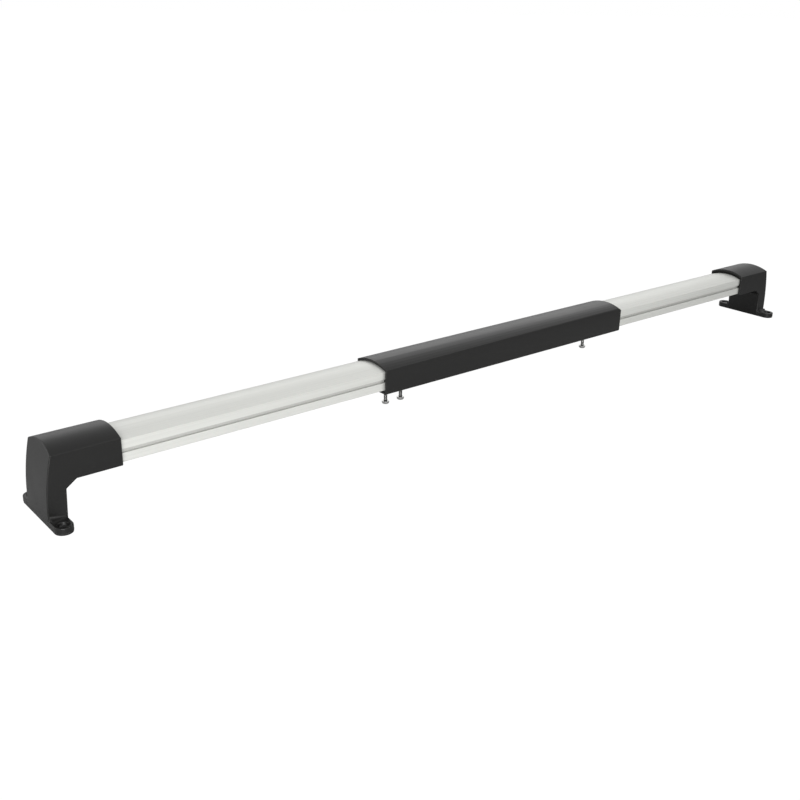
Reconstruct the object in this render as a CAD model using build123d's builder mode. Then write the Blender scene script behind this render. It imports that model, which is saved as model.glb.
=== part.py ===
from build123d import *
import math
import os
from collections import namedtuple

# Bed cargo bar: two aluminium bars slide in a black centre sleeve and stand on two moulded feet.
# X runs along the bar, Y across it and Z up. The origin is midway between the feet, on the
# plane under their rubber pads. All sizes are in millimetres.

# ---- Lengths along the bar ----
arm_length = 105.2          # outer face of a foot to the mouth of its socket
left_bar_shown = 436.0      # bar between the left foot and the sleeve, at rest
right_bar_shown = 395.0     # bar between the sleeve and the right foot, at rest
sleeve_length = 562.0
insertion = 170.0           # bar inside the sleeve on the side that shows more of it
bush_length = 80.0
glide_length = 20.0         # part of the glide that plugs into the bar
glide_flange = 3.0

# ---- Bar extrusion ----
bar_width = 66.0
bar_side_height = 31.0
bar_rise = 6.0              # height of the domed top over its corners
bar_underside = 61.8        # height of the bar's underside over the floor
bar_wall = 2.2
bar_corner = 0.9
slot_width = 12.0           # slot along the underside, for the clamp screws
groove_width = 5.6          # groove along each side
groove_depth = 3.0
groove_drop = 15.3          # bar's top corner down to the middle of the groove

# ---- Sleeve and bushes ----
sleeve_wall = 2.6
sleeve_side_gap = 1.7       # sleeve's bore to the bar's sides, filled by the bush
sleeve_floor_gap = 4.2      # sleeve's bore to the bar's underside, filled by the bush
sleeve_taper = 0.2          # how much narrower each side is at the bottom
sleeve_head_gap = 2.9       # sleeve's top corner over the bar's
sleeve_rise = 8.0
sleeve_low_corner = 3.0
sleeve_top_corner = 1.2
bush_recess = 0.6           # how far the bush sits inside the mouth

# ---- Feet ----
foot_side_gap = 4.6         # foot's side to the bar's side, at the bar's top corner
foot_head_gap = 5.5         # foot's top corner over the bar's
foot_rise = 8.8
foot_draft = 0.015          # how much each side leans in, per millimetre down
arm_floor = 3.1             # arm's underside to the bar's underside
post_depth = 25.6           # post's thickness along the bar, at the floor
post_top_depth = 27.9       # the same where the slope to the arm starts
knee_length = 14.5          # that slope, along the bar
knee_height = 10.5
face_lean = 13.4            # how far the outer face leans in at the top
face_bulge = 2.6            # how far it leans in halfway
foot_edge = 1.6
end_wall = 14.0             # outer face to the end of the bar
post_wall = 3.6
post_outer_wall = 7.0
post_rib = 2.6
post_pockets = 3

# ---- Base plates and pads ----
base_width = 25.0
base_length = 131.0
base_thickness = 8.0
base_edge = 1.2
pad_thickness = 2.0
pad_inset = 0.4
lug_hole_radius = 4.5
lug_hole_spacing = 106.0
lug_bore_radius = 7.0
lug_bore_depth = 5.0
lug_bore_chamfer = 1.5
ledge_height = 3.3
ledge_length = 4.7
ledge_inset = 3.0

# ---- Screws, washers and nut plates ----
screw_radius = 3.0
screw_head_radius = 6.0
screw_head_height = 3.8
screw_head_edge = 1.5
recess_length = 6.4
recess_width = 1.4
recess_depth = 2.2
washer_radius = 6.0
washer_bore_radius = 3.2
washer_thickness = 1.6
plate_width = 24.0
plate_thickness = 4.0
plate_margin = 12.0         # from a screw's axis to the end of its nut plate
clamp_screw_length = 42.0
clamp_drop = 26.4           # how far a loosened clamp screw hangs below its seat
clamp_inset = 28.0          # sleeve's mouth to the outer clamp screw
clamp_pitch = 31.0          # outer clamp screw to the inner one
foot_screw_length = 16.0
foot_screw_inset = 18.0     # arm's mouth to the outer foot screw
foot_screw_pitch = 30.0

# ---- Clearances ----
running_gap = 0.3           # bar to bush, and clamp nut plate to bar
socket_gap = 0.15           # bar to foot socket, and glide to bar
thread_gap = 0.05           # screw to the hole of its nut plate
seat_gap = 0.05             # tight clamp washer to its seat
hole_gap = 0.3              # screw to the holes it passes through
glide_growth = 1.2          # how far the glide's flange stands out over the bar's outline

# ---- Worked out from the sizes above ----
overall_length = 2 * arm_length + left_bar_shown + sleeve_length + right_bar_shown
foot_x = -overall_length / 2
bar_seat = arm_length - end_wall
bar_length = bar_seat + max(left_bar_shown, right_bar_shown) + insertion
mouth_left = foot_x + arm_length + left_bar_shown
mouth_right = mouth_left + sleeve_length
bar_inner_end = foot_x + end_wall + bar_length
base_top = pad_thickness + base_thickness
arm_underside = bar_underside - arm_floor
clearance_hole = screw_radius + hole_gap

# An outline with straight sides and a domed top, symmetric about Y = 0.
Domed = namedtuple("Domed", "half_top half_low z_low z_side rise")


def grown(outline, amount):
    """Give the outline with each face moved out by amount, or in where amount is negative."""
    radius = (outline.half_top**2 + outline.rise**2) / (2 * outline.rise)
    z_centre = outline.z_side + outline.rise - radius
    half_top = outline.half_top + amount
    z_side = z_centre + math.sqrt((radius + amount) ** 2 - half_top**2)
    rise = z_centre + radius + amount - z_side
    return Domed(half_top, outline.half_low + amount, outline.z_low - amount, z_side, rise)


bar_outline = Domed(
    bar_width / 2,
    bar_width / 2,
    bar_underside,
    bar_underside + bar_side_height,
    bar_rise,
)
sleeve_outline = Domed(
    bar_outline.half_top + sleeve_side_gap + sleeve_wall,
    bar_outline.half_top + sleeve_side_gap + sleeve_wall - sleeve_taper,
    bar_outline.z_low - sleeve_floor_gap - sleeve_wall,
    bar_outline.z_side + sleeve_head_gap,
    sleeve_rise,
)
sleeve_bore = grown(sleeve_outline, -sleeve_wall)
foot_z_side = bar_outline.z_side + foot_head_gap
foot_outline = Domed(
    bar_outline.half_top + foot_side_gap,
    bar_outline.half_top + foot_side_gap - foot_draft * (foot_z_side - pad_thickness),
    pad_thickness,
    foot_z_side,
    foot_rise,
)
foot_top = foot_outline.z_side + foot_outline.rise
groove_z = bar_outline.z_side - groove_drop
slot_lip_top = bar_outline.z_low + bar_wall


def draw_domed(outline, low_corner=0.0, top_corner=0.0, mode=Mode.ADD):
    """Draw a domed outline into the open sketch, with rounded corners where a radius is given."""
    with BuildLine() as border:
        Polyline(
            (outline.half_top, outline.z_side),
            (outline.half_low, outline.z_low),
            (-outline.half_low, outline.z_low),
            (-outline.half_top, outline.z_side),
        )
        ThreePointArc(
            (-outline.half_top, outline.z_side),
            (0, outline.z_side + outline.rise),
            (outline.half_top, outline.z_side),
        )
    face = make_face(border.edges(), mode=mode)
    corners = face.vertices().group_by(Axis.Y)
    if low_corner:
        fillet(corners[0], low_corner)
    if top_corner:
        fillet(corners[-1], top_corner)


def draw_groove_ribs(gap):
    """Draw the two ribs that enter the bar's side grooves, gap clear of the groove's walls."""
    rib_inner = bar_outline.half_top - groove_depth + gap
    rib_outer = bar_outline.half_top + sleeve_side_gap / 2
    for side in (-1, 1):
        with Locations((side * (rib_inner + rib_outer) / 2, groove_z)):
            Rectangle(rib_outer - rib_inner, groove_width - 2 * gap)


def cut_groove_ribs(gap):
    """Leave the same two ribs standing in a socket's outline."""
    rib_inner = bar_outline.half_top - groove_depth + gap
    rib_outer = bar_outline.half_top + gap
    for side in (-1, 1):
        with Locations((side * (rib_inner + rib_outer) / 2, groove_z)):
            Rectangle(rib_outer - rib_inner, groove_width - 2 * gap, mode=Mode.SUBTRACT)


def draw_groove_bosses(growth=0.0, mode=Mode.ADD):
    """Draw the thickened walls behind the bar's side grooves."""
    boss_inner = bar_outline.half_top - groove_depth - bar_wall - growth
    boss_outer = bar_outline.half_top - bar_wall / 2
    for side in (-1, 1):
        with Locations((side * (boss_inner + boss_outer) / 2, groove_z)):
            Rectangle(boss_outer - boss_inner, groove_width + 2 * (bar_wall + growth), mode=mode)


def write(piece, name):
    """Label a finished piece and write it as parts/name.step."""
    piece.part.label = name
    export_step(piece.part, f"parts/{name}.step")


def write_pair(left, name):
    """Write a left-hand piece and its mirror image on the right."""
    with BuildPart() as right:
        mirror(left.part, about=Plane.YZ)
    write(left, f"{name}_left")
    write(right, f"{name}_right")


def make_bars():
    """Two equal lengths of hollow extrusion, with side grooves and a slot underneath."""
    with BuildPart() as bar:
        with BuildSketch(Plane.YZ.offset(foot_x + end_wall)):
            draw_domed(bar_outline, bar_corner, bar_corner)
            draw_domed(grown(bar_outline, -bar_wall), mode=Mode.SUBTRACT)
            draw_groove_bosses()
            for side in (-1, 1):
                with Locations((side * bar_outline.half_top, groove_z)):
                    Rectangle(2 * groove_depth, groove_width, mode=Mode.SUBTRACT)
            with Locations((0, bar_outline.z_low)):
                Rectangle(slot_width, 4 * bar_wall, mode=Mode.SUBTRACT)
        extrude(amount=bar_length)
    write_pair(bar, "bar")


def make_glides():
    """Plugs in the bars' inner ends, with a flange that guides the bar and stops it at the bush."""
    with BuildPart() as glide:
        with BuildSketch(Plane.YZ.offset(bar_inner_end)):
            draw_domed(grown(bar_outline, glide_growth), bar_corner, bar_corner)
        extrude(amount=glide_flange)
        with BuildSketch(Plane.YZ.offset(bar_inner_end)):
            draw_domed(grown(bar_outline, -bar_wall - socket_gap))
            draw_domed(grown(bar_outline, -2 * bar_wall - socket_gap), mode=Mode.SUBTRACT)
            draw_groove_bosses(socket_gap, mode=Mode.SUBTRACT)
        extrude(amount=-glide_length)
    write_pair(glide, "bar_glide")


def make_sleeve():
    """The centre sleeve, with a row of screw holes near each mouth."""
    with BuildPart() as sleeve:
        with BuildSketch(Plane.YZ.offset(mouth_left)):
            draw_domed(sleeve_outline, sleeve_low_corner, sleeve_top_corner)
            draw_domed(sleeve_bore, mode=Mode.SUBTRACT)
        extrude(amount=sleeve_length)
        with BuildSketch(Plane.XY.offset(sleeve_outline.z_low)):
            with Locations(*[(x, 0) for x in clamp_places.values()]):
                Circle(clearance_hole)
        extrude(amount=sleeve_wall, mode=Mode.SUBTRACT)
    write(sleeve, "center_sleeve")


def make_bushes():
    """Nylon bushes inside the sleeve's mouths, with ribs that run in the bars' grooves."""
    for side, mouth, direction in (("left", mouth_left, 1), ("right", mouth_right, -1)):
        with BuildPart() as bush:
            with BuildSketch(Plane.YZ.offset(mouth + direction * bush_recess)):
                draw_domed(sleeve_bore)
                draw_domed(grown(bar_outline, running_gap), mode=Mode.SUBTRACT)
                draw_groove_ribs(running_gap)
            extrude(amount=direction * bush_length)
            with BuildSketch(Plane.XY.offset(sleeve_bore.z_low)):
                with Locations(*[(clamp_places[f"{side}_{place}"], 0) for place in ("outer", "inner")]):
                    Circle(clearance_hole)
            extrude(amount=sleeve_floor_gap, mode=Mode.SUBTRACT)
        write(bush, f"sleeve_bush_{side}")


def nut_plate(screw_xs, z_low):
    """A plate inside the bar's slot that the screws at screw_xs thread into."""
    start = min(screw_xs) - plate_margin
    length = max(screw_xs) - min(screw_xs) + 2 * plate_margin
    with BuildPart() as plate:
        with BuildSketch(Plane.XY.offset(z_low)):
            with Locations((start + length / 2, 0)):
                RectangleRounded(length, plate_width, 2 * bar_wall)
            with Locations(*[(x, 0) for x in screw_xs]):
                Circle(screw_radius + thread_gap, mode=Mode.SUBTRACT)
        extrude(amount=plate_thickness)
    return plate


def screws(screw_xs, z_seat, length):
    """Pan head screws that point up, with their heads' tops at z_seat and a cross recess below."""
    with BuildPart() as group:
        with Locations(*[(x, 0, z_seat) for x in screw_xs]):
            Cylinder(screw_head_radius, screw_head_height, align=(Align.CENTER, Align.CENTER, Align.MAX))
        fillet(group.edges().filter_by(GeomType.CIRCLE).group_by(Axis.Z)[0], screw_head_edge)
        with BuildSketch(Plane.XY.offset(z_seat - screw_head_height)):
            with Locations(*[(x, 0) for x in screw_xs]):
                Rectangle(recess_length, recess_width)
                Rectangle(recess_width, recess_length)
        extrude(amount=recess_depth, mode=Mode.SUBTRACT)
        with BuildSketch(Plane.XY.offset(z_seat)):
            with Locations(*[(x, 0) for x in screw_xs]):
                Circle(screw_radius)
        extrude(amount=length)
        chamfer(group.edges().filter_by(GeomType.CIRCLE).group_by(Axis.Z)[-1], screw_radius / 6)
    return group


def washers(washer_xs, z_low):
    """Flat washers lying on z_low."""
    with BuildPart() as group:
        with BuildSketch(Plane.XY.offset(z_low)):
            with Locations(*[(x, 0) for x in washer_xs]):
                Circle(washer_radius)
                Circle(washer_bore_radius, mode=Mode.SUBTRACT)
        extrude(amount=washer_thickness)
    return group


def make_clamps():
    """The clamp screws, washers and nut plates: three screws hang loosened, one is tight."""
    for side in ("left", "right"):
        xs = [clamp_places[f"{side}_outer"], clamp_places[f"{side}_inner"]]
        write(nut_plate(xs, slot_lip_top + running_gap), f"clamp_nut_plate_{side}")
    for place, x in clamp_places.items():
        drop = seat_gap if place == tight_clamp else clamp_drop
        seat = sleeve_outline.z_low - drop - washer_thickness
        write(washers([x], seat), f"clamp_washer_{place}")
        write(screws([x], seat, clamp_screw_length), f"clamp_screw_{place}")


def make_base_plate():
    """The plate at the bottom of the left foot: a stadium with a recessed bolt hole in each lug."""
    with BuildPart() as plate:
        with BuildSketch(Plane.XY.offset(pad_thickness)):
            with Locations((foot_x + base_width / 2, 0)):
                SlotOverall(base_length, base_width, rotation=90)
        extrude(amount=base_thickness)
        fillet(plate.faces().sort_by(Axis.Z)[-1].edges(), base_edge)
        with BuildSketch(Plane.YZ.offset(foot_x + ledge_inset)):
            for side in (-1, 1):
                with BuildLine():
                    post_side = foot_outline.half_low - 1
                    Polyline(
                        (side * post_side, base_top - base_edge),
                        (side * (foot_outline.half_low + ledge_length + ledge_height), base_top - base_edge),
                        (side * (foot_outline.half_low + ledge_length), base_top + ledge_height),
                        (side * post_side, base_top + ledge_height),
                        close=True,
                    )
                make_face()
        extrude(amount=base_width - 2 * ledge_inset)
    return plate


def make_feet():
    """Moulded feet: a hollow post with a base plate, and an arm that sockets the bar."""
    base_plate = make_base_plate()
    mouth = foot_x + arm_length
    lug_places = [(foot_x + base_width / 2, side * lug_hole_spacing / 2) for side in (-1, 1)]
    middle = (pad_thickness + foot_top) / 2
    with BuildPart() as foot:
        with BuildSketch(Plane.XZ):
            with BuildLine():
                ThreePointArc(
                    (foot_x, pad_thickness),
                    (foot_x + face_bulge, middle),
                    (foot_x + face_lean, foot_top),
                )
                Polyline(
                    (foot_x + face_lean, foot_top),
                    (foot_x + face_lean, foot_top + 1),
                    (mouth, foot_top + 1),
                    (mouth, arm_underside),
                    (foot_x + post_top_depth + knee_length, arm_underside),
                    (foot_x + post_top_depth, arm_underside - knee_height),
                    (foot_x + post_depth, pad_thickness),
                    (foot_x, pad_thickness),
                )
            make_face()
        extrude(amount=base_length, both=True)
        with BuildSketch(Plane.YZ.offset(foot_x - 1)):
            draw_domed(foot_outline)
        extrude(amount=arm_length + 2, mode=Mode.INTERSECT)
        fillet(foot.edges().filter_by(lambda edge: edge.center().Z > base_top), foot_edge)
        add(base_plate.part)
        with Locations(*[(x, y, base_top) for x, y in lug_places]):
            CounterBoreHole(lug_hole_radius, lug_bore_radius, lug_bore_depth, depth=base_thickness)
        rims = foot.edges().filter_by(GeomType.CIRCLE).filter_by(
            lambda edge: abs(edge.radius - lug_bore_radius) < 0.01 and edge.center().Z > base_top - 0.01
        )
        chamfer(rims, lug_bore_chamfer)
        # The socket, with ribs that enter the bar's grooves.
        with BuildSketch(Plane.YZ.offset(foot_x + end_wall - socket_gap)):
            draw_domed(grown(bar_outline, socket_gap))
            cut_groove_ribs(socket_gap)
        extrude(amount=bar_seat + socket_gap + 1, mode=Mode.SUBTRACT)
        # Pockets in the post, open underneath, with ribs between them.
        pocket_depth = post_depth - post_outer_wall - post_wall
        span = 2 * (foot_outline.half_low - post_wall)
        pocket_span = (span - (post_pockets - 1) * post_rib) / post_pockets
        with BuildSketch(Plane.XY.offset(pad_thickness)):
            with Locations((foot_x + post_outer_wall + pocket_depth / 2, 0)):
                with GridLocations(1, pocket_span + post_rib, 1, post_pockets):
                    Rectangle(pocket_depth, pocket_span)
        extrude(amount=arm_underside - post_wall - pad_thickness, mode=Mode.SUBTRACT)
        # Holes for the screws that hold the bar.
        with BuildSketch(Plane.XY.offset(arm_underside)):
            with Locations(*[(x, 0) for x in foot_screw_xs]):
                Circle(clearance_hole)
        extrude(amount=arm_floor, mode=Mode.SUBTRACT)
    write_pair(foot, "foot")


def make_foot_pads():
    """Rubber pads under the base plates."""
    with BuildPart() as pad:
        with BuildSketch():
            with Locations((foot_x + base_width / 2, 0)):
                SlotOverall(base_length - 2 * pad_inset, base_width - 2 * pad_inset, rotation=90)
            with Locations(*[(foot_x + base_width / 2, side * lug_hole_spacing / 2) for side in (-1, 1)]):
                Circle(lug_hole_radius, mode=Mode.SUBTRACT)
        extrude(amount=pad_thickness)
    write_pair(pad, "foot_pad")


def make_foot_fasteners():
    """The nut plate, screws and washers that hold a bar in its foot."""
    seat = arm_underside - washer_thickness
    write_pair(nut_plate(foot_screw_xs, slot_lip_top), "foot_nut_plate")
    write_pair(washers(foot_screw_xs, seat), "foot_washers")
    write_pair(screws(foot_screw_xs, seat, foot_screw_length), "foot_screws")


clamp_places = {
    "left_outer": mouth_left + clamp_inset,
    "left_inner": mouth_left + clamp_inset + clamp_pitch,
    "right_inner": mouth_right - clamp_inset - clamp_pitch,
    "right_outer": mouth_right - clamp_inset,
}
tight_clamp = "right_outer"
foot_screw_xs = [
    foot_x + arm_length - foot_screw_inset,
    foot_x + arm_length - foot_screw_inset - foot_screw_pitch,
]

os.makedirs("parts", exist_ok=True)
make_bars()
make_glides()
make_sleeve()
make_bushes()
make_clamps()
make_feet()
make_foot_pads()
make_foot_fasteners()
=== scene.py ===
import bmesh
import bpy
import math
from mathutils import Matrix, Vector


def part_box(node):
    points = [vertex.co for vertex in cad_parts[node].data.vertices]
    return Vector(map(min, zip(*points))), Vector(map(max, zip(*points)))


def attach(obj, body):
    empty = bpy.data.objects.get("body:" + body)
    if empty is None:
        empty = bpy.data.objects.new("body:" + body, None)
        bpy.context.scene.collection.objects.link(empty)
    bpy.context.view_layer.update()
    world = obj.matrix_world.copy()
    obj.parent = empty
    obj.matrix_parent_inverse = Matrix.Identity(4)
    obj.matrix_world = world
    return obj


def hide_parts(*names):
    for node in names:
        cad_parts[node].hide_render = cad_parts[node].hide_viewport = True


# A bed cargo bar: two anodised bars slide in a black centre sleeve and stand on two moulded feet.
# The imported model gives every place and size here; lengths are in metres, angles in degrees.
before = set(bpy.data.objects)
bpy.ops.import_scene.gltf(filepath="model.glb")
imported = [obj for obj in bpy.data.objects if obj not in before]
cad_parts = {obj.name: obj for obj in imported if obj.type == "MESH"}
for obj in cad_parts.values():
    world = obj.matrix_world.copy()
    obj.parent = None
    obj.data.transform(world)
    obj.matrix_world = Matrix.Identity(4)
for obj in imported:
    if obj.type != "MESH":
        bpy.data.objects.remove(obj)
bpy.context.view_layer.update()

SIDES = ("left", "right")
CLAMPS = ("left_outer", "left_inner", "right_inner", "right_outer")
MM = 0.001

GLOSS_LOW, GLOSS_HIGH = 0.7, 1.3     # most of the sum of two noises lies between these
MARK_LOW, MARK_HIGH = 0.36, 0.64     # most of the drawn marks' noise lies between these
EDGE_START = 0.985        # cosine between the rounded and the plain normal where edge wear and the painted highlight start
EDGE_FULL = 0.86          # and where it is full

MERGE_DISTANCE = 0.002 * MM
PIECE_CREASE = 28.0       # an edge of a main piece stays sharp past this angle

HEAD_RADIUS = 6.0 * MM
HEAD_HEIGHT = 3.8 * MM
SEAT_GAP = 0.03 * MM      # a screw head's face to its washer
SCREW_CREASE = 32.0       # an edge of a screw stays sharp past this angle
THREAD_SIDES = 32         # corners around a thread
RINGS_PER_TURN = 8.0
FLANK_SLOPE = 1.3         # how steeply a thread falls from its crest
CREST_SHARE = 0.1         # how much of it stays flat at the crest
THREAD_DEPTH = 0.6        # of the pitch
TIP_TAPER = 0.6           # of the last turn's length
HEAD_SEGMENTS = 48        # corners around a head
HEAD_RINGS = 32
RIM_POWER = -0.5          # fills the head out towards its rim
CROWN_POWER = 0.62        # fills the head out over its height
RECESS_TAPER = 0.55       # width of the cross recess at its foot
LEAST_RADIUS = 0.0001     # keeps the head's axis out of the power

FLOOR_SIZE = 400.0
FLOOR_DROP = 0.1 * MM     # keeps the floor off the pads' undersides
FLOOR_GLOW = 0.97         # share of its own light in what the camera sees of the floor
GLOW_STRENGTH = 1.04
FLOOR_NEAR_GREY = 0.55    # what the floor reflects as far as FLOOR_DIM_FROM along X
FLOOR_FAR_GREY = 0.25     # and past FLOOR_DIM_TO
FLOOR_DIM_FROM = 0.5
FLOOR_DIM_TO = 1.3
WORLD_DIM_FROM = 0.6      # the surround dims between these directions towards the front right
WORLD_DIM_TO = 0.88
BACK_SHARE = 2.0          # keeps it bright at the back
OVERHEAD_DIM = 0.3        # how much darker it is straight overhead
WHITE = (1.0, 1.0, 1.0, 1.0)
SENSOR_WIDTH = 36.0


# ---- Shader tools -------------------------------------------------------------------------------

def node(tree, kind, **settings):
    """Add a node and set its properties."""
    made = tree.nodes.new(kind)
    for name, value in settings.items():
        setattr(made, name, value)
    return made


def feed(tree, value, socket):
    """Link value to the socket if it is a socket, or else set it."""
    if isinstance(value, bpy.types.NodeSocket):
        tree.links.new(value, socket)
    else:
        socket.default_value = value


def math_node(tree, operation, first, second):
    """Add a Math node whose two values are numbers or sockets; give its value."""
    made = node(tree, "ShaderNodeMath", operation=operation)
    for socket, value in zip(made.inputs, (first, second)):
        feed(tree, value, socket)
    return made.outputs[0]


def map_range(tree, value, **ends):
    """Map value between ends such as from_min, which are numbers or sockets; give the result."""
    made = node(tree, "ShaderNodeMapRange")
    tree.links.new(value, made.inputs["Value"])
    for name, end in ends.items():
        feed(tree, end, made.inputs[name.replace("_", " ").title()])
    return made.outputs["Result"]


def noise(tree, place, scale, detail, roughness=0.5):
    """Add a noise texture; give its value."""
    made = node(tree, "ShaderNodeTexNoise")
    tree.links.new(place, made.inputs["Vector"])
    feed(tree, scale, made.inputs["Scale"])
    made.inputs["Detail"].default_value = detail
    made.inputs["Roughness"].default_value = roughness
    return made.outputs["Fac"]


def mix_colours(tree, share, first, second):
    """Blend two colours; give the result."""
    made = node(tree, "ShaderNodeMix", data_type="RGBA")
    tree.links.new(share, made.inputs["Factor"])
    tree.links.new(first, made.inputs["A"])
    tree.links.new(second, made.inputs["B"])
    return made.outputs["Result"]


def coordinates(tree, kind="Object"):
    """Give the coordinates of that kind."""
    return node(tree, "ShaderNodeTexCoord").outputs[kind]


def stretched_coordinates(tree, along, across):
    """Object coordinates scaled by along in X and by across in Y and Z."""
    scale = node(tree, "ShaderNodeCombineXYZ")
    for socket, value in zip(scale.inputs, (along, across, across)):
        feed(tree, value, socket)
    product = node(tree, "ShaderNodeVectorMath", operation="MULTIPLY")
    tree.links.new(coordinates(tree), product.inputs[0])
    tree.links.new(scale.outputs[0], product.inputs[1])
    return product.outputs[0]


def new_group(name, inputs, outputs):
    """Start a shader node group; give its tree, the sockets it is given and those of its result."""
    tree = bpy.data.node_groups.new(name, "ShaderNodeTree")
    for socket_name, kind, value in inputs:
        socket = tree.interface.new_socket(name=socket_name, in_out="INPUT", socket_type=kind)
        socket.default_value = value
    for socket_name, kind in outputs:
        tree.interface.new_socket(name=socket_name, in_out="OUTPUT", socket_type=kind)
    given = tree.nodes.new("NodeGroupInput").outputs
    return tree, given, tree.nodes.new("NodeGroupOutput").inputs


def make_surface_grain():
    """Fine moulded or sprayed grain, with slow drifts of gloss over it."""
    tree, given, result = new_group(
        "Surface Grain",
        [
            ("Grain Scale", "NodeSocketFloat", 900.0),
            ("Drift Scale", "NodeSocketFloat", 9.0),
            ("Roughness Low", "NodeSocketFloat", 0.4),
            ("Roughness High", "NodeSocketFloat", 0.5),
        ],
        [("Height", "NodeSocketFloat"), ("Roughness", "NodeSocketFloat")],
    )
    place = coordinates(tree)
    grain = noise(tree, place, given["Grain Scale"], 3.0)
    drift = noise(tree, place, given["Drift Scale"], 4.0)
    gloss = map_range(
        tree, math_node(tree, "ADD", drift, grain), from_min=GLOSS_LOW, from_max=GLOSS_HIGH,
        to_min=given["Roughness Low"], to_max=given["Roughness High"],
    )
    tree.links.new(grain, result["Height"])
    tree.links.new(gloss, result["Roughness"])
    return tree


def make_draw_lines(speck_share=0.35):
    """Faint lines left along X by a die, with specks between them."""
    tree, given, result = new_group(
        "Draw Lines",
        [
            ("Line Scale", "NodeSocketFloat", 420.0),
            ("Line Length", "NodeSocketFloat", 0.004),
            ("Speck Scale", "NodeSocketFloat", 1500.0),
            ("Dark", "NodeSocketColor", (0.7, 0.7, 0.7, 1.0)),
            ("Light", "NodeSocketColor", (0.8, 0.8, 0.8, 1.0)),
            ("Roughness Low", "NodeSocketFloat", 0.3),
            ("Roughness High", "NodeSocketFloat", 0.4),
        ],
        [
            ("Color", "NodeSocketColor"),
            ("Roughness", "NodeSocketFloat"),
            ("Height", "NodeSocketFloat"),
        ],
    )
    lengthwise = math_node(tree, "MULTIPLY", given["Line Scale"], given["Line Length"])
    stretched = stretched_coordinates(tree, lengthwise, given["Line Scale"])
    lines = noise(tree, stretched, 1.0, 4.0, roughness=0.65)
    specks = noise(tree, coordinates(tree), given["Speck Scale"], 2.0)
    faint = math_node(tree, "MULTIPLY", specks, speck_share)
    strong = math_node(tree, "MULTIPLY", lines, 1.0 - speck_share)
    marks = math_node(tree, "ADD", faint, strong)
    spread = map_range(tree, marks, from_min=MARK_LOW, from_max=MARK_HIGH)
    gloss = map_range(tree, spread, to_min=given["Roughness Low"], to_max=given["Roughness High"])
    tree.links.new(mix_colours(tree, spread, given["Dark"], given["Light"]), result["Color"])
    tree.links.new(gloss, result["Roughness"])
    tree.links.new(spread, result["Height"])
    return tree


def make_edge_wear_and_highlight():
    """Lighten the edges, partly as wear where hands and straps rub and partly as a painted
    highlight along the creases, broken up by noise.
    """
    tree, given, result = new_group(
        "Edge Wear And Painted Highlight",
        [
            ("Width", "NodeSocketFloat", 0.001),
            ("Break Scale", "NodeSocketFloat", 300.0),
            ("Amount", "NodeSocketFloat", 0.5),
            ("Face Color", "NodeSocketColor", (0.02, 0.02, 0.02, 1.0)),
            ("Edge Color", "NodeSocketColor", (0.1, 0.1, 0.1, 1.0)),
        ],
        [("Color", "NodeSocketColor")],
    )
    rounded = node(tree, "ShaderNodeBevel", samples=4)
    tree.links.new(given["Width"], rounded.inputs["Radius"])
    surface = node(tree, "ShaderNodeNewGeometry")
    facing = node(tree, "ShaderNodeVectorMath", operation="DOT_PRODUCT")
    tree.links.new(rounded.outputs["Normal"], facing.inputs[0])
    tree.links.new(surface.outputs["Normal"], facing.inputs[1])
    edge = map_range(tree, facing.outputs["Value"], from_min=EDGE_START, from_max=EDGE_FULL)
    breaks = noise(tree, coordinates(tree), given["Break Scale"], 3.0)
    broken = math_node(tree, "MULTIPLY", edge, breaks)
    mask = math_node(tree, "MULTIPLY", broken, given["Amount"])
    colour = mix_colours(tree, mask, given["Face Color"], given["Edge Color"])
    tree.links.new(colour, result["Color"])
    return tree


def make_recess_shade():
    """Painted shade: darken a colour where the surface is closed in, as in grooves, slots and under
    heads, where shade falls.
    """
    tree, given, result = new_group(
        "Recess Shade",
        [
            ("Color", "NodeSocketColor", (0.7, 0.7, 0.7, 1.0)),
            ("Reach", "NodeSocketFloat", 0.005),
            ("Least", "NodeSocketFloat", 0.4),
            ("Closed", "NodeSocketFloat", 0.45),
            ("Open", "NodeSocketFloat", 0.95),
        ],
        [("Color", "NodeSocketColor")],
    )
    around = node(tree, "ShaderNodeAmbientOcclusion", samples=6)
    tree.links.new(given["Reach"], around.inputs["Distance"])
    share = map_range(
        tree, around.outputs["AO"],
        from_min=given["Closed"], from_max=given["Open"], to_min=given["Least"],
    )
    dim = node(tree, "ShaderNodeVectorMath", operation="SCALE")
    tree.links.new(given["Color"], dim.inputs[0])
    tree.links.new(share, dim.inputs["Scale"])
    tree.links.new(dim.outputs["Vector"], result["Color"])
    return tree


def place_group(tree, group, **values):
    """Put a node group into a material, with its named inputs set."""
    made = node(tree, "ShaderNodeGroup", node_tree=group)
    for name, value in values.items():
        made.inputs[name.replace("_", " ").title()].default_value = value
    return made


def new_material(name, **constants):
    """Start a material; give its tree and its Principled BSDF with the constant sockets set."""
    material = bpy.data.materials.new(name)
    material.use_nodes = True
    shader = material.node_tree.nodes["Principled BSDF"]
    for socket, value in constants.items():
        shader.inputs[socket.replace("_", " ")].default_value = value
    return material, material.node_tree, shader


def add_bump(tree, shader, height, strength, distance):
    """Feed a height to the shader's normal."""
    bump = node(tree, "ShaderNodeBump")
    bump.inputs["Strength"].default_value = strength
    bump.inputs["Distance"].default_value = distance
    tree.links.new(height, bump.inputs["Height"])
    tree.links.new(bump.outputs["Normal"], shader.inputs["Normal"])


surface_grain = make_surface_grain()
draw_lines = make_draw_lines()
edge_wear_and_highlight = make_edge_wear_and_highlight()
recess_shade = make_recess_shade()


# ---- Materials ----------------------------------------------------------------------------------

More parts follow.
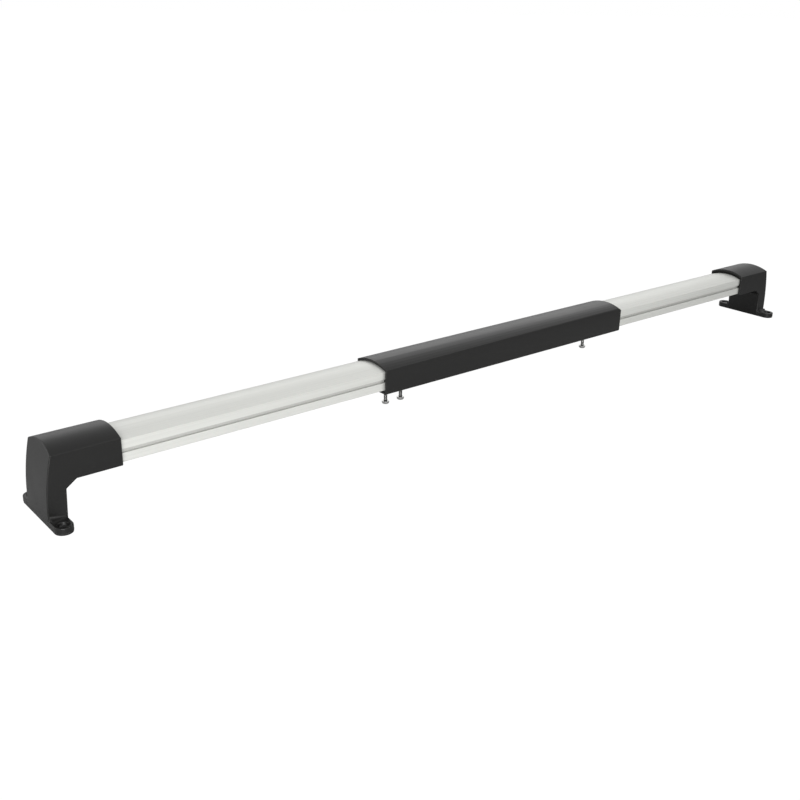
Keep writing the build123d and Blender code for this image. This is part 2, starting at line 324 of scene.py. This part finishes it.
def black_finish(name, face, edge, grain, wear_and_highlight, bump, **constants):
    """A black plastic or coated surface, with grain and with edges lightened by wear and by a
    painted highlight.
    """
    material, tree, shader = new_material(name, **constants)
    texture = place_group(tree, surface_grain, **grain)
    worn_and_lit = place_group(tree, edge_wear_and_highlight, face_color=face, edge_color=edge, **wear_and_highlight)
    tree.links.new(worn_and_lit.outputs["Color"], shader.inputs["Base Color"])
    tree.links.new(texture.outputs["Roughness"], shader.inputs["Roughness"])
    add_bump(tree, shader, texture.outputs["Height"], *bump)
    return material


def drawn_metal(name, lines, bump, recess, **constants):
    """A bare or anodised metal drawn through a die, with painted shade darkening its colour in its
    recesses.
    """
    material, tree, shader = new_material(name, **constants)
    drawn = place_group(tree, draw_lines, **lines)
    # Painted shade: the drawn colour is darkened where the surface is closed in.
    shaded = place_group(tree, recess_shade, **recess)
    tree.links.new(drawn.outputs["Color"], shaded.inputs["Color"])
    tree.links.new(shaded.outputs["Color"], shader.inputs["Base Color"])
    tree.links.new(drawn.outputs["Roughness"], shader.inputs["Roughness"])
    add_bump(tree, shader, drawn.outputs["Height"], *bump)
    return material


coated_sleeve = black_finish(
    "satin black coating",
    (0.0085, 0.0085, 0.0082, 1.0),
    (0.040, 0.040, 0.039, 1.0),
    dict(grain_scale=1400.0, drift_scale=7.0, roughness_low=0.29, roughness_high=0.37),
    dict(width=0.0009, break_scale=260.0, amount=0.5),
    (0.08, 0.00012),
    Specular_IOR_Level=0.36,
)
# Its edges are made much lighter than its face, partly as wear and partly as a painted highlight
# along the creases.
moulded_nylon = black_finish(
    "moulded black nylon",
    (0.006, 0.006, 0.0057, 1.0),
    (0.15, 0.15, 0.145, 1.0),
    dict(grain_scale=1100.0, drift_scale=14.0, roughness_low=0.34, roughness_high=0.44),
    dict(width=0.0011, break_scale=420.0, amount=0.9),
    (0.16, 0.00018),
    Specular_IOR_Level=0.38,
)
bush_nylon = black_finish(
    "smooth black bush",
    (0.008, 0.008, 0.008, 1.0),
    (0.030, 0.030, 0.030, 1.0),
    dict(grain_scale=700.0, drift_scale=20.0, roughness_low=0.34, roughness_high=0.44),
    dict(width=0.0006, break_scale=500.0, amount=0.4),
    (0.08, 0.0001),
    Specular_IOR_Level=0.36,
)
pad_rubber = black_finish(
    "pad rubber",
    (0.007, 0.007, 0.007, 1.0),
    (0.02, 0.02, 0.02, 1.0),
    dict(grain_scale=800.0, drift_scale=30.0, roughness_low=0.75, roughness_high=0.9),
    dict(width=0.0004, break_scale=600.0, amount=0.3),
    (0.3, 0.0002),
    Specular_IOR_Level=0.3,
)
anodised_bar = drawn_metal(
    "satin anodised aluminium",
    dict(
        line_scale=420.0, line_length=0.004, speck_scale=1700.0,
        dark=(0.66, 0.666, 0.634, 1.0), light=(0.74, 0.746, 0.714, 1.0),
        roughness_low=0.36, roughness_high=0.44,
    ),
    (0.10, 0.00012),
    dict(reach=0.007, least=0.62, closed=0.45, open=0.95),
    Metallic=0.5,
    Specular_IOR_Level=0.3,
)
zinc_steel = drawn_metal(
    "bright zinc plate",
    dict(
        line_scale=900.0, line_length=0.6, speck_scale=2500.0,
        dark=(0.50, 0.50, 0.49, 1.0), light=(0.68, 0.68, 0.67, 1.0),
        roughness_low=0.14, roughness_high=0.24,
    ),
    (0.06, 0.00008),
    dict(reach=0.003, least=0.25, closed=0.35, open=0.95),
    Metallic=1.0,
)


def paint(material, *names):
    """Give CAD nodes their finish."""
    for name in names:
        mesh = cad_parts[name].data
        if not mesh.materials:
            mesh.materials.append(material)
        for index in range(len(mesh.materials)):
            mesh.materials[index] = material


paint(coated_sleeve, "center_sleeve")
for side in SIDES:
    paint(anodised_bar, f"bar_{side}")
    paint(moulded_nylon, f"foot_{side}")
    paint(bush_nylon, f"sleeve_bush_{side}", f"bar_glide_{side}")
    paint(pad_rubber, f"foot_pad_{side}")
    paint(zinc_steel, f"clamp_nut_plate_{side}", f"foot_nut_plate_{side}", f"foot_washers_{side}")
    paint(zinc_steel, f"foot_screws_{side}")
for clamp in CLAMPS:
    paint(zinc_steel, f"clamp_screw_{clamp}", f"clamp_washer_{clamp}")


# ---- Smooth copies of the main pieces -----------------------------------------------------------

def plain_mesh(piece, modifier):
    """Make the modifier's result the piece's own mesh, and remove the modifier."""
    evaluated = piece.evaluated_get(bpy.context.evaluated_depsgraph_get())
    mesh = bpy.data.meshes.new_from_object(evaluated)
    piece.modifiers.remove(modifier)
    piece.data = mesh
    return mesh


def smooth_copy(name, body):
    """A merged copy of a CAD node, smooth but for its sharp edges, that stands for it."""
    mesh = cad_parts[name].data.copy()
    shape = bmesh.new()
    shape.from_mesh(mesh)
    bmesh.ops.remove_doubles(shape, verts=shape.verts, dist=MERGE_DISTANCE)
    shape.to_mesh(mesh)
    shape.free()
    mesh.shade_smooth()
    mesh.set_sharp_from_angle(angle=math.radians(PIECE_CREASE))
    piece = bpy.data.objects.new(f"{name}_smooth", mesh)
    bpy.context.collection.objects.link(piece)
    weights = piece.modifiers.new("weights", "WEIGHTED_NORMAL")
    weights.mode = "FACE_AREA"
    weights.keep_sharp = True
    plain_mesh(piece, weights)
    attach(piece, body)
    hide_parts(name)


smooth_copy("center_sleeve", "sleeve")
for side in SIDES:
    smooth_copy(f"sleeve_bush_{side}", "sleeve")
    for name in ("bar", "bar_glide", "foot", "foot_pad"):
        smooth_copy(f"{name}_{side}", f"{side}_bar")


# ---- Machine screws -----------------------------------------------------------------------------

class Nodes:
    """Adds geometry nodes to a tree, with the inputs of each given by name."""

    def __init__(self, tree):
        self.tree = tree

    def add(self, kind, values=(), **settings):
        """Add a node; values pairs each input's name or number with what it is given."""
        made = node(self.tree, kind, **settings)
        for socket, value in values:
            feed(self.tree, value, made.inputs[socket])
        return made

    def math(self, operation, first, second=0.0):
        """A Math node's value."""
        return math_node(self.tree, operation, first, second)

    def plus(self, first, second):
        """The sum."""
        return self.math("ADD", first, second)

    def minus(self, first, second):
        """The difference."""
        return self.math("SUBTRACT", first, second)

    def times(self, first, second):
        """The product."""
        return self.math("MULTIPLY", first, second)

    def over(self, first, second):
        """The quotient."""
        return self.math("DIVIDE", first, second)

    def at_least(self, first, second):
        """The larger of the two."""
        return self.math("MAXIMUM", first, second)

    def moved(self, mesh, x, y, z):
        """The mesh with each vertex at x, y, z."""
        place = self.add("ShaderNodeCombineXYZ", ((0, x), (1, y), (2, z))).outputs[0]
        values = (("Geometry", mesh), ("Position", place))
        return self.add("GeometryNodeSetPosition", values).outputs[0]


SCREW_INPUTS = [
    ("Count", "NodeSocketInt", 1),
    ("First Place", "NodeSocketVector", (0.0, 0.0, 0.0)),
    ("Step", "NodeSocketVector", (0.03, 0.0, 0.0)),
    ("Radius", "NodeSocketFloat", 0.003),
    ("Pitch", "NodeSocketFloat", 0.001),
    ("Length", "NodeSocketFloat", 0.04),
    ("Head Radius", "NodeSocketFloat", 0.006),
    ("Head Height", "NodeSocketFloat", 0.0038),
    ("Recess Length", "NodeSocketFloat", 0.0066),
    ("Recess Width", "NodeSocketFloat", 0.0015),
    ("Recess Depth", "NodeSocketFloat", 0.0024),
    ("Finish", "NodeSocketMaterial", None),
]


def make_thread(nodes, given, x, y, z):
    """A rod whose radius falls to the root between the turns, and tapers at the tip."""
    rings = nodes.times(nodes.over(given["Length"], given["Pitch"]), RINGS_PER_TURN)
    rod = nodes.add("GeometryNodeMeshCylinder", (
        ("Vertices", THREAD_SIDES), ("Side Segments", rings),
        ("Radius", given["Radius"]), ("Depth", given["Length"]),
    )).outputs["Mesh"]
    height = nodes.plus(z, nodes.times(given["Length"], 0.5))
    bearing = nodes.over(nodes.math("ARCTAN2", y, x), math.tau)
    turns = nodes.minus(nodes.over(height, given["Pitch"]), bearing)
    turn = nodes.math("FRACT", nodes.plus(turns, 1.0))
    from_crest = nodes.times(nodes.math("ABSOLUTE", nodes.minus(turn, 0.5)), 2.0)
    fall = nodes.minus(nodes.times(from_crest, FLANK_SLOPE), CREST_SHARE)
    flank = nodes.math("MINIMUM", nodes.at_least(fall, 0.0), 1.0)
    root = nodes.times(nodes.times(flank, given["Pitch"]), THREAD_DEPTH)
    to_tip = nodes.minus(given["Length"], height)
    last_turn = nodes.at_least(nodes.minus(given["Pitch"], to_tip), 0.0)
    radius = nodes.minus(nodes.minus(given["Radius"], root), nodes.times(last_turn, TIP_TAPER))
    shrink = nodes.over(radius, given["Radius"])
    return nodes.moved(rod, nodes.times(x, shrink), nodes.times(y, shrink), height)


def make_pan_head(nodes, given, x, y, z):
    """A ball flattened at the seat and squared towards its rim, with a cross recess."""
    squares = nodes.plus(nodes.times(x, x), nodes.times(y, y))
    across = nodes.at_least(nodes.math("SQRT", squares), LEAST_RADIUS)
    spread = nodes.times(nodes.math("POWER", across, RIM_POWER), given["Head Radius"])
    below = nodes.at_least(nodes.times(z, -1.0), 0.0)
    crown = nodes.math("POWER", below, CROWN_POWER)
    depth = nodes.times(crown, nodes.times(given["Head Height"], -1.0))
    ball_sizes = (("Segments", HEAD_SEGMENTS), ("Rings", HEAD_RINGS), ("Radius", 1.0))
    ball = nodes.add("GeometryNodeMeshUVSphere", ball_sizes).outputs["Mesh"]
    head = nodes.moved(
        ball, nodes.times(x, spread), nodes.times(y, spread), nodes.minus(depth, SEAT_GAP),
    )
    cut = nodes.add("GeometryNodeMeshBoolean", (("Mesh 1", head),), operation="DIFFERENCE")

    # Each arm of the cross narrows towards the seat.
    outside = nodes.math("LESS_THAN", z, 0.0)
    narrow = nodes.plus(nodes.times(outside, 1.0 - RECESS_TAPER), RECESS_TAPER)
    lift = nodes.minus(z, given["Head Height"])
    deep = nodes.times(given["Recess Depth"], 2.0)
    for length, width in (("Recess Length", "Recess Width"), ("Recess Width", "Recess Length")):
        size = nodes.add("ShaderNodeCombineXYZ", ((0, given[length]), (1, given[width]), (2, deep)))
        arm = nodes.add("GeometryNodeMeshCube", (("Size", size.outputs[0]),)).outputs["Mesh"]
        arm = nodes.moved(arm, nodes.times(x, narrow), nodes.times(y, narrow), lift)
        nodes.tree.links.new(arm, cut.inputs["Mesh 2"])
    return cut.outputs["Mesh"]


def make_screw_tree():
    """A row of machine screws that point up from their seats, with threads and cross recesses."""
    tree = bpy.data.node_groups.new("Machine Screws", "GeometryNodeTree")
    for name, kind, value in SCREW_INPUTS:
        socket = tree.interface.new_socket(name=name, in_out="INPUT", socket_type=kind)
        if value is not None:
            socket.default_value = value
    tree.interface.new_socket(name="Geometry", in_out="OUTPUT", socket_type="NodeSocketGeometry")
    given = tree.nodes.new("NodeGroupInput").outputs
    nodes = Nodes(tree)
    position = nodes.add("GeometryNodeInputPosition").outputs[0]
    where = nodes.add("ShaderNodeSeparateXYZ", ((0, position),)).outputs
    screw = nodes.add("GeometryNodeJoinGeometry")
    for make_part in (make_thread, make_pan_head):
        tree.links.new(make_part(nodes, given, *where), screw.inputs["Geometry"])
    row = nodes.add("GeometryNodeMeshLine", (
        ("Count", given["Count"]),
        ("Start Location", given["First Place"]),
        ("Offset", given["Step"]),
    ), mode="OFFSET").outputs["Mesh"]
    placed = nodes.add("GeometryNodeInstanceOnPoints", (
        ("Points", row), ("Instance", screw.outputs["Geometry"]),
    )).outputs["Instances"]
    real = nodes.add("GeometryNodeRealizeInstances", (("Geometry", placed),)).outputs["Geometry"]
    finished = nodes.add("GeometryNodeSetMaterial", (
        ("Geometry", real), ("Material", given["Finish"]),
    )).outputs["Geometry"]
    tree.links.new(finished, tree.nodes.new("NodeGroupOutput").inputs["Geometry"])
    return tree


screw_tree = make_screw_tree()


def make_screws(name, body, count):
    """Threaded screws, in a row of count along X, that stand for a CAD node of plain ones."""
    low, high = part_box(name)
    seat = low[2] + HEAD_HEIGHT
    first = Vector((low[0] + HEAD_RADIUS, (low[1] + high[1]) / 2, seat))
    last = Vector((high[0] - HEAD_RADIUS, first.y, seat))
    sizes = {
        "Count": count,
        "First Place": first,
        "Step": last - first,
        "Length": high[2] - seat,
        "Head Radius": HEAD_RADIUS,
        "Head Height": HEAD_HEIGHT,
        "Finish": zinc_steel,
    }
    piece = bpy.data.objects.new(f"{name}_threaded", bpy.data.meshes.new(f"{name}_threaded"))
    bpy.context.collection.objects.link(piece)
    modifier = piece.modifiers.new("screws", "NODES")
    modifier.node_group = screw_tree
    for item in screw_tree.interface.items_tree:
        if item.item_type == "SOCKET" and item.in_out == "INPUT" and item.name in sizes:
            modifier[item.identifier] = sizes[item.name]
    shape = plain_mesh(piece, modifier)
    shape.shade_smooth()
    shape.set_sharp_from_angle(angle=math.radians(SCREW_CREASE))
    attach(piece, body)
    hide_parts(name)


for side in SIDES:
    make_screws(f"foot_screws_{side}", f"{side}_bar", 2)
for clamp in CLAMPS:
    make_screws(f"clamp_screw_{clamp}", f"screw_{clamp}", 1)


# ---- Stage --------------------------------------------------------------------------------------

def mix_shaders(tree, share, first, second):
    """Blend two shaders; give the result."""
    made = node(tree, "ShaderNodeMixShader")
    tree.links.new(share, made.inputs["Fac"])
    tree.links.new(first, made.inputs[1])
    tree.links.new(second, made.inputs[2])
    return made.outputs["Shader"]


def make_floor():
    """A white floor, evenly lit to the camera and clear from below; it reflects less far right."""
    mesh = bpy.data.meshes.new("floor")
    half = FLOOR_SIZE / 2
    corners = [(-half, -half), (half, -half), (half, half), (-half, half)]
    mesh.from_pydata([(x, y, -FLOOR_DROP) for x, y in corners], [], [(0, 1, 2, 3)])
    floor = bpy.data.objects.new("floor", mesh)
    bpy.context.collection.objects.link(floor)
    material, tree, shader = new_material("white floor", Roughness=0.9, Specular_IOR_Level=0.2)
    apart = node(tree, "ShaderNodeSeparateXYZ")
    tree.links.new(coordinates(tree), apart.inputs[0])
    shade = map_range(
        tree, apart.outputs["X"], from_min=FLOOR_DIM_FROM, from_max=FLOOR_DIM_TO,
        to_min=FLOOR_NEAR_GREY, to_max=FLOOR_FAR_GREY,
    )
    grey = node(tree, "ShaderNodeCombineColor")
    for channel in grey.inputs:
        tree.links.new(shade, channel)
    tree.links.new(grey.outputs["Color"], shader.inputs["Base Color"])
    glow = node(tree, "ShaderNodeEmission")
    glow.inputs["Strength"].default_value = GLOW_STRENGTH
    seen = node(tree, "ShaderNodeLightPath").outputs["Is Camera Ray"]
    share = math_node(tree, "MULTIPLY", seen, FLOOR_GLOW)
    above = mix_shaders(tree, share, shader.outputs["BSDF"], glow.outputs["Emission"])
    from_below = node(tree, "ShaderNodeNewGeometry").outputs["Backfacing"]
    clear = node(tree, "ShaderNodeBsdfTransparent").outputs["BSDF"]
    surface = mix_shaders(tree, from_below, above, clear)
    tree.links.new(surface, tree.nodes["Material Output"].inputs["Surface"])
    mesh.materials.append(material)


def make_light(name, place, target, size, power):
    """A soft area light at place that faces target."""
    lamp = bpy.data.lights.new(name, "AREA")
    lamp.shape = "RECTANGLE"
    lamp.size, lamp.size_y = size
    lamp.energy = power
    light = bpy.data.objects.new(name, lamp)
    light.location = place
    light.rotation_euler = (Vector(target) - Vector(place)).to_track_quat("-Z", "Y").to_euler()
    bpy.context.collection.objects.link(light)


def make_world(strength, right_share):
    """A surround, white to the camera, that falls to right_share at the front right."""
    world = bpy.data.worlds.new("studio")
    world.use_nodes = True
    tree = world.node_tree
    sky = tree.nodes["Background"]
    sky.inputs["Color"].default_value = WHITE
    apart = node(tree, "ShaderNodeSeparateXYZ")
    tree.links.new(coordinates(tree, "Generated"), apart.inputs[0])
    behind = math_node(tree, "MAXIMUM", apart.outputs["Y"], 0.0)
    kept_bright = math_node(tree, "MULTIPLY", behind, BACK_SHARE)
    front_right = math_node(tree, "SUBTRACT", apart.outputs["X"], kept_bright)
    around = map_range(
        tree, front_right, from_min=WORLD_DIM_FROM, from_max=WORLD_DIM_TO,
        to_min=strength, to_max=strength * right_share,
    )
    above = math_node(tree, "MAXIMUM", apart.outputs["Z"], 0.0)
    kept = math_node(tree, "SUBTRACT", 1.0, math_node(tree, "MULTIPLY", above, OVERHEAD_DIM))
    level = math_node(tree, "MULTIPLY", around, kept)
    seen = node(tree, "ShaderNodeLightPath").outputs["Is Camera Ray"]
    extra = math_node(tree, "MULTIPLY", seen, math_node(tree, "SUBTRACT", 1.0, level))
    tree.links.new(math_node(tree, "ADD", level, extra), sky.inputs["Strength"])
    bpy.context.scene.world = world


def make_camera(place, heading, tilt, roll, lens):
    """The camera looks along heading, from +Y towards +X, and tilt below the horizon."""
    heading, tilt, roll = map(math.radians, (heading, tilt, roll))
    flat = math.cos(tilt)
    ahead = Vector((math.sin(heading) * flat, math.cos(heading) * flat, -math.sin(tilt)))
    level_right = Vector((math.cos(heading), -math.sin(heading), 0.0))
    level_up = level_right.cross(ahead)
    right = level_right * math.cos(roll) - level_up * math.sin(roll)
    up = level_up * math.cos(roll) + level_right * math.sin(roll)
    data = bpy.data.cameras.new("camera")
    data.lens = lens
    data.sensor_width = SENSOR_WIDTH
    data.clip_start, data.clip_end = 0.05, 100.0
    camera = bpy.data.objects.new("camera", data)
    turned = Matrix((right, up, -ahead)).transposed().to_4x4()
    camera.matrix_world = Matrix.Translation(place) @ turned
    bpy.context.collection.objects.link(camera)
    bpy.context.scene.camera = camera


make_floor()
make_world(strength=0.84, right_share=0.35)
make_light("key", (-1.9, -2.2, 0.55), (-0.7, 0.0, 0.08), size=(1.8, 0.9), power=72.0)
make_light("overhead", (0.9, -0.9, 1.9), (-0.4, 0.0, 0.1), size=(1.3, 0.8), power=8.0)
make_light("left back", (-2.6, 1.8, 1.2), (-0.6, 0.0, 0.1), size=(2.0, 1.6), power=14.0)
make_light("back strip", (2.0, 3.0, 1.5), (0.1, 0.0, 0.1), size=(4.2, 0.9), power=11.0)
make_camera((-1.1669, -1.1753, 0.6204), heading=39.383, tilt=21.490, roll=-0.870, lens=44.95)
bpy.context.scene.view_settings.view_transform = "Standard"
